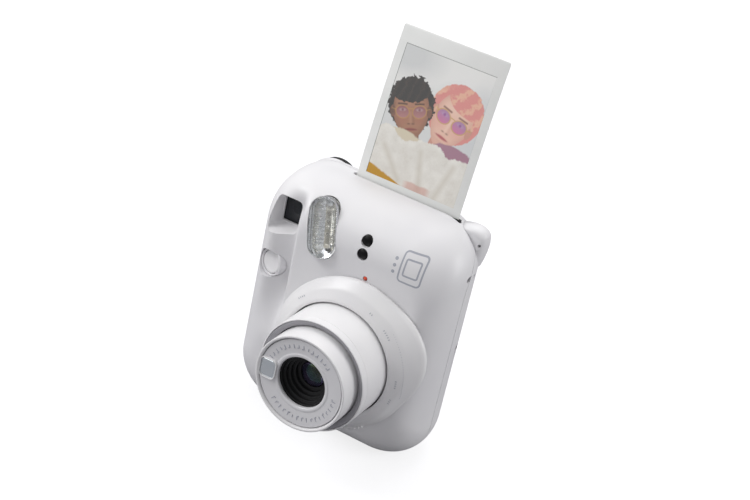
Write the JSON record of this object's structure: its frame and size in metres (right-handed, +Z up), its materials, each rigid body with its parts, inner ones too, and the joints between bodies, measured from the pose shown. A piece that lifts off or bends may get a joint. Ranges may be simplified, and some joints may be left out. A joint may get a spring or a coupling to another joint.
{
  "type": "instant camera",
  "caption": "Rounded hand-held instant film camera with a twist-out lens, a flash, a grip with its release button, and a print leaving the slot in its top.",
  "frame": {"origin": "middle of the base, on the plane the camera stands on, at the seam between the covers", "axes": "+Z up through the print slot, -Y where the lens looks, +X to the right seen from the front"},
  "size_m": [0.1029, 0.0946, 0.1931],
  "materials": {
    "white_shell": "fine satin moulding",
    "white_ring": "smooth satin",
    "grey_ring": "satin",
    "black_plastic": "matt",
    "rubber": "matt",
    "foam": "felted",
    "clear_plastic": "clear",
    "lens_glass": "polished",
    "mirror": "polished",
    "steel": "plain",
    "brass": "plain",
    "red_mark": "satin",
    "print_paper": "glossy coated",
    "circuit_board": "lacquered",
    "cell_jacket": "printed jacket",
    "bright_reflector": "bright",
    "gear_plastic": "plain"
  },
  "bodies": {
    "body": {"front_cover": "white_shell", "rear_cover": "white_shell", "hinge_pin": "steel", "case_screw_1": "steel", "case_screw_2": "steel", "case_screw_3": "steel", "cell_front": "cell_jacket", "cell_rear": "cell_jacket", "contact_plate": "brass", "flash_capacitor": "black_plastic", "main_board": "circuit_board", "viewfinder_window": "lens_glass", "viewfinder_tube": "black_plastic", "eyepiece_lens": "lens_glass", "eyecup": "rubber", "flash_window": "clear_plastic", "flash_reflector": "bright_reflector", "flash_tube": "clear_plastic", "sensor_window_upper": "black_plastic", "sensor_window_lower": "black_plastic", "index_mark": "red_mark", "button_ring": "white_shell", "button_spring": "steel", "slot_insert": "black_plastic", "film_pack": "black_plastic", "film_stack": "print_paper", "dark_chamber": "black_plastic", "bracket_left": "steel", "bracket_right": "steel", "motor": "steel"},
    "film_door": {"film_door": "white_shell", "door_seal": "foam", "pressure_plate": "black_plastic", "leaf_spring": "steel", "counter_window": "clear_plastic", "door_window": "clear_plastic"},
    "counter": {"counter_dial": "print_paper"},
    "latch": {"door_latch": "white_shell"},
    "battery_door": {"battery_door": "white_shell"},
    "button": {"shutter_button": "white_ring"},
    "twist_ring": {"twist_ring": "white_ring"},
    "outer_barrel": {"outer_barrel": "white_ring", "barrel_front_ring": "grey_ring"},
    "inner_barrel": {"inner_barrel": "white_ring", "face_ring": "grey_ring", "selfie_mirror": "mirror", "lens_hood": "black_plastic", "front_lens": "lens_glass", "shutter_plate": "black_plastic", "rear_lens": "lens_glass"},
    "blade_left": {"blade_left": "black_plastic"},
    "blade_right": {"blade_right": "black_plastic"},
    "print": {"print_sheet": "print_paper"},
    "claw": {"pick_claw": "steel"},
    "front_roller": {"front_roller": "steel", "front_gear": "gear_plastic"},
    "rear_roller": {"rear_roller": "steel", "rear_gear": "gear_plastic"},
    "idler": {"idler_gear": "gear_plastic"},
    "pinion": {"motor_pinion": "brass"}
  },
  "joints": [
    {"name": "ring_turn", "type": "hinge", "parent": "body", "child": "twist_ring", "pos_m": [0.008, -0.027, 0.051], "axis": [0, 1, 0], "range_deg": [0, 75]},
    {"name": "outer_slide", "type": "slide", "parent": "body", "child": "outer_barrel", "axis": [0, 1, 0], "range_m": [0, 0.02]},
    {"name": "inner_slide", "type": "slide", "parent": "outer_barrel", "child": "inner_barrel", "axis": [0, 1, 0], "range_m": [0, 0.008]},
    {"name": "blade_left_open", "type": "hinge", "parent": "inner_barrel", "child": "blade_left", "pos_m": [-0.0016, -0.0468, 0.0626], "axis": [0, 1, 0], "range_deg": [0, 30]},
    {"name": "blade_right_open", "type": "hinge", "parent": "inner_barrel", "child": "blade_right", "pos_m": [0.0176, -0.0468, 0.0626], "axis": [0, -1, 0], "range_deg": [0, 30]},
    {"name": "button_press", "type": "slide", "parent": "body", "child": "button", "axis": [0.3008, 0.9524, -0.0501], "range_m": [0, 0.0015], "stiffness_N_per_m": 500},
    {"name": "print_eject", "type": "hinge", "parent": "body", "child": "print", "pos_m": [0.008, 0.63966, 0.018], "axis": [-1, 0, 0], "range_deg": [-8.4, 1.3]},
    {"name": "front_roller_turn", "type": "hinge", "parent": "body", "child": "front_roller", "pos_m": [0, 0.00211, 0.10855], "axis": [1, 0, 0], "range_deg": [-1545, 245]},
    {"name": "rear_roller_turn", "type": "hinge", "parent": "body", "child": "rear_roller", "pos_m": [0, 0.00993, 0.10744], "axis": [-1, 0, 0], "range_deg": [-1545, 245]},
    {"name": "idler_turn", "type": "hinge", "parent": "body", "child": "idler", "pos_m": [0.041, -0.00153, 0.10045], "axis": [-1, 0, 0], "range_deg": [-1240, 200]},
    {"name": "pinion_turn", "type": "hinge", "parent": "body", "child": "pinion", "pos_m": [0.041, -0.009, 0.097], "axis": [1, 0, 0], "range_deg": [-1850, 290]},
    {"name": "claw_lift", "type": "slide", "parent": "body", "child": "claw", "axis": [0, 0, 1], "range_m": [0, 0.005], "stiffness_N_per_m": 60},
    {"name": "film_door_swing", "type": "hinge", "parent": "body", "child": "film_door", "pos_m": [-0.027, 0.0296, 0.05], "axis": [0, 0, 1], "range_deg": [0, 100]},
    {"name": "counter_turn", "type": "hinge", "parent": "film_door", "child": "counter", "pos_m": [0.018, 0.0254, 0.024], "axis": [0, -1, 0], "range_deg": [0, 300]},
    {"name": "latch_slide", "type": "slide", "parent": "body", "child": "latch", "axis": [0, 0, 1], "range_m": [0, 0.004], "stiffness_N_per_m": 150},
    {"name": "battery_door_pull", "type": "slide", "parent": "body", "child": "battery_door", "axis": [-1, 0, 0], "range_m": [0, 0.012]}
  ],
  "couplings": [
    {"joint": "outer_slide", "follows": "ring_turn", "m_per_rad": 0.01527},
    {"joint": "inner_slide", "follows": "ring_turn", "m_per_rad": 0.00611},
    {"joint": "blade_left_open", "follows": "button_press", "rad_per_m": 340},
    {"joint": "blade_right_open", "follows": "button_press", "rad_per_m": 340},
    {"joint": "front_roller_turn", "follows": "print_eject", "ratio": 182.86},
    {"joint": "rear_roller_turn", "follows": "print_eject", "ratio": 182.86},
    {"joint": "idler_turn", "follows": "print_eject", "ratio": 146.29},
    {"joint": "pinion_turn", "follows": "print_eject", "ratio": 219.43}
  ]
}
